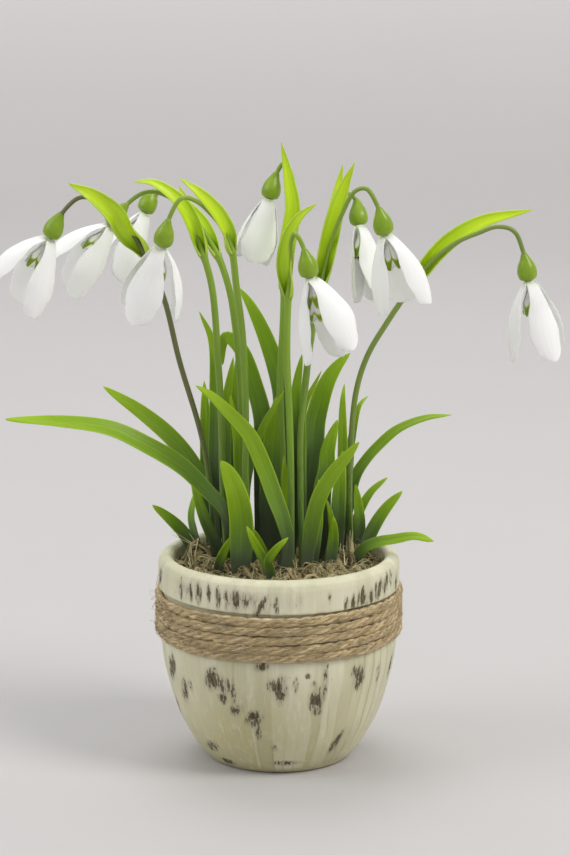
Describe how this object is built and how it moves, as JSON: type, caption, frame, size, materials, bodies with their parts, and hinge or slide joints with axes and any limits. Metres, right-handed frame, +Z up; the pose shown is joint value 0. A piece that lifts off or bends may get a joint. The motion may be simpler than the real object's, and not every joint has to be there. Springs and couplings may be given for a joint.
{
  "type": "potted snowdrop plant",
  "caption": "Clump of nodding white snowdrops with strap leaves in a small round pot wound with jute twine; stands on a table, shelf or windowsill.",
  "frame": {"origin": "centre of the pot's foot, on the surface that it stands on", "axes": "+Z up; -Y is the side that the picture shows, with +X to its right"},
  "size_m": [0.2046, 0.1008, 0.2261],
  "materials": {
    "glazed_pot": "cream, distressed, low gloss",
    "jute": "twisted jute fibre",
    "soil": "dark potting soil",
    "coir": "loose coir and straw fibre",
    "stem": "smooth green plant tissue",
    "bloom": "soft white petal",
    "leaf": "satin green leaf"
  },
  "bodies": {
    "root": {"pot": "glazed_pot", "jute_twine": "jute", "soil": "soil", "coir_moss": "coir", "stem_01": "stem", "stem_02": "stem", "stem_03": "stem", "stem_04": "stem", "stem_05": "stem", "stem_06": "stem", "stem_07": "stem", "stem_08": "stem", "stem_09": "stem", "bloom_01": "bloom", "bloom_02": "bloom", "bloom_03": "bloom", "bloom_04": "bloom", "bloom_05": "bloom", "bloom_06": "bloom", "bloom_07": "bloom", "bloom_08": "bloom", "bloom_09": "bloom", "leaf_01": "leaf", "leaf_02": "leaf", "leaf_03": "leaf", "leaf_04": "leaf", "leaf_05": "leaf", "leaf_06": "leaf", "leaf_07": "leaf", "leaf_08": "leaf", "leaf_09": "leaf", "leaf_10": "leaf", "leaf_11": "leaf", "leaf_12": "leaf", "leaf_13": "leaf", "leaf_14": "leaf", "leaf_15": "leaf", "leaf_16": "leaf", "leaf_17": "leaf", "leaf_18": "leaf", "leaf_19": "leaf", "leaf_20": "leaf", "leaf_21": "leaf", "leaf_22": "leaf", "leaf_23": "leaf", "leaf_24": "leaf", "leaf_25": "leaf", "leaf_26": "leaf", "leaf_27": "leaf", "leaf_28": "leaf", "leaf_29": "leaf", "leaf_30": "leaf", "leaf_31": "leaf", "leaf_32": "leaf", "leaf_33": "leaf", "leaf_34": "leaf", "leaf_35": "leaf", "leaf_36": "leaf", "leaf_37": "leaf", "leaf_38": "leaf"}
  },
  "joints": []
}
